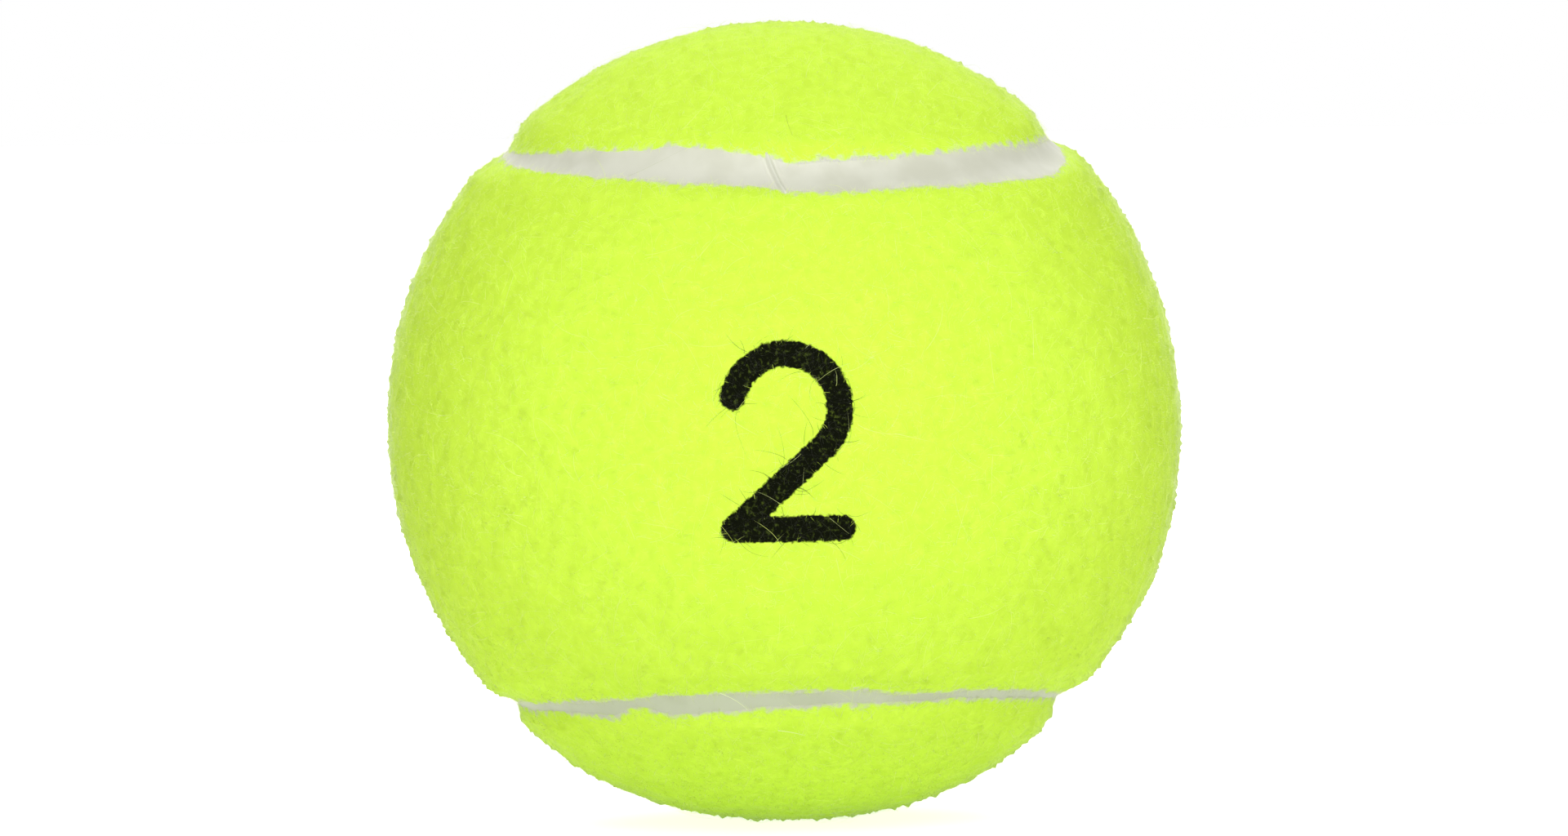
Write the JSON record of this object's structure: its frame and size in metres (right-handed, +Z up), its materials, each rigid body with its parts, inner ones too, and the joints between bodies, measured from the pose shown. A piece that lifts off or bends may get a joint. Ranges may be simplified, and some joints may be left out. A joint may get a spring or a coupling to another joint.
{
  "type": "tennis ball",
  "caption": "Round hollow rubber ball covered with interlocking dogbone panels of yellow-green napped felt, parted by a recessed white seam; it bounces in racket games.",
  "frame": {"origin": "centre of the ball", "axes": "+Z up, +X to the viewer's right, -Y towards the viewer: the front panel's waist faces -Y"},
  "size_m": [0.067, 0.067, 0.067],
  "materials": {
    "core_rubber": "moulded, buffed matt",
    "cement": "cured rubber solution",
    "back_coat": "matt rubber on woven cloth",
    "felt": "napped wool and nylon felt",
    "seam": "matt moulded rubber"
  },
  "bodies": {
    "root": {"core_upper_half": "core_rubber", "core_lower_half": "core_rubber", "core_joint_cement": "cement", "core_cement_coat": "cement", "front_panel_backing": "back_coat", "back_panel_backing": "back_coat", "front_felt_panel": "felt", "back_felt_panel": "felt", "seam_rubber": "seam"}
  },
  "joints": []
}
